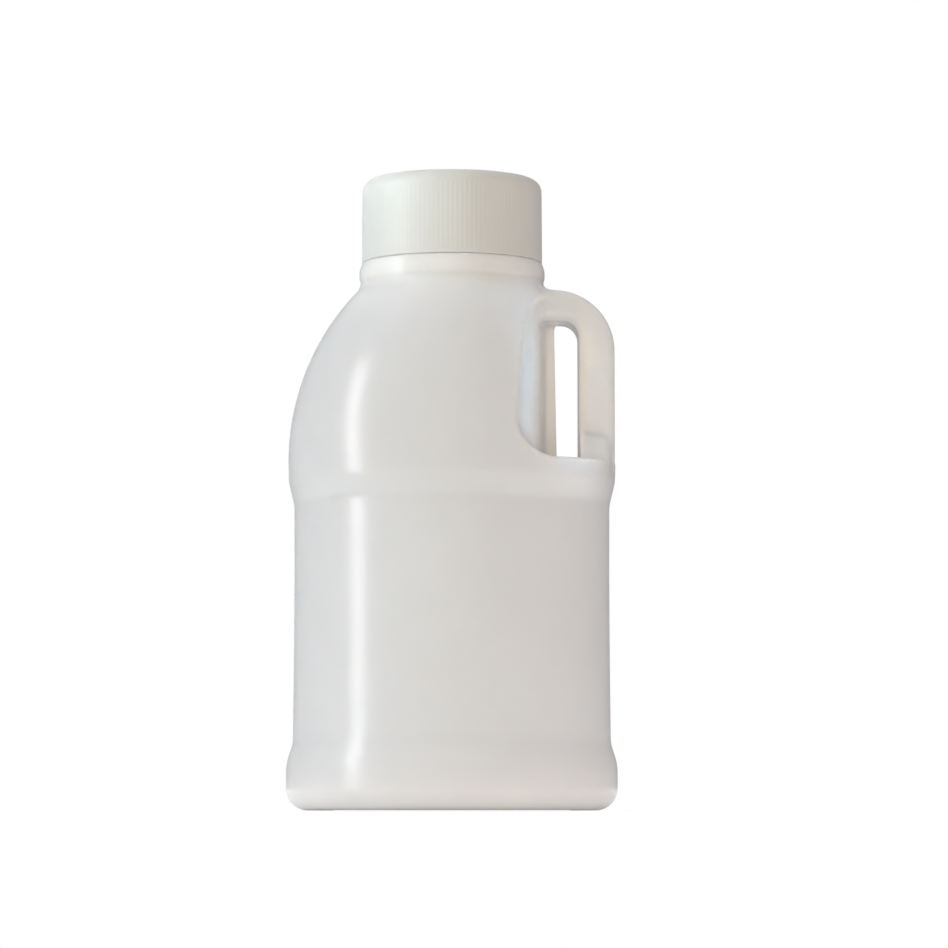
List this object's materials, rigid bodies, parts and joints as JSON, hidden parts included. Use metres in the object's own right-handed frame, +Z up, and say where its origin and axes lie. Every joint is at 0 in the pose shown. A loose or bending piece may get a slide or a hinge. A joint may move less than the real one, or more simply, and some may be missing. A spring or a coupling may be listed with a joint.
{
  "type": "fabric conditioner bottle",
  "caption": "Round blow-moulded laundry bottle of natural translucent plastic, with a moulded side handle, finger recesses and a ribbed white screw cap.",
  "frame": {"origin": "middle of the base, on the body's axis, where the bottle stands", "axes": "+Z up along the body's axis, +X towards the handle, the handle's middle plane is XZ"},
  "size_m": [0.1036, 0.1036, 0.198],
  "materials": {
    "bottle": "satin natural polyethylene, milky and light-passing, with a soft broad highlight",
    "cap": "satin white moulded plastic with fine upright grip ribs"
  },
  "bodies": {
    "root": {"bottle": "bottle", "cap": "cap"}
  },
  "joints": []
}
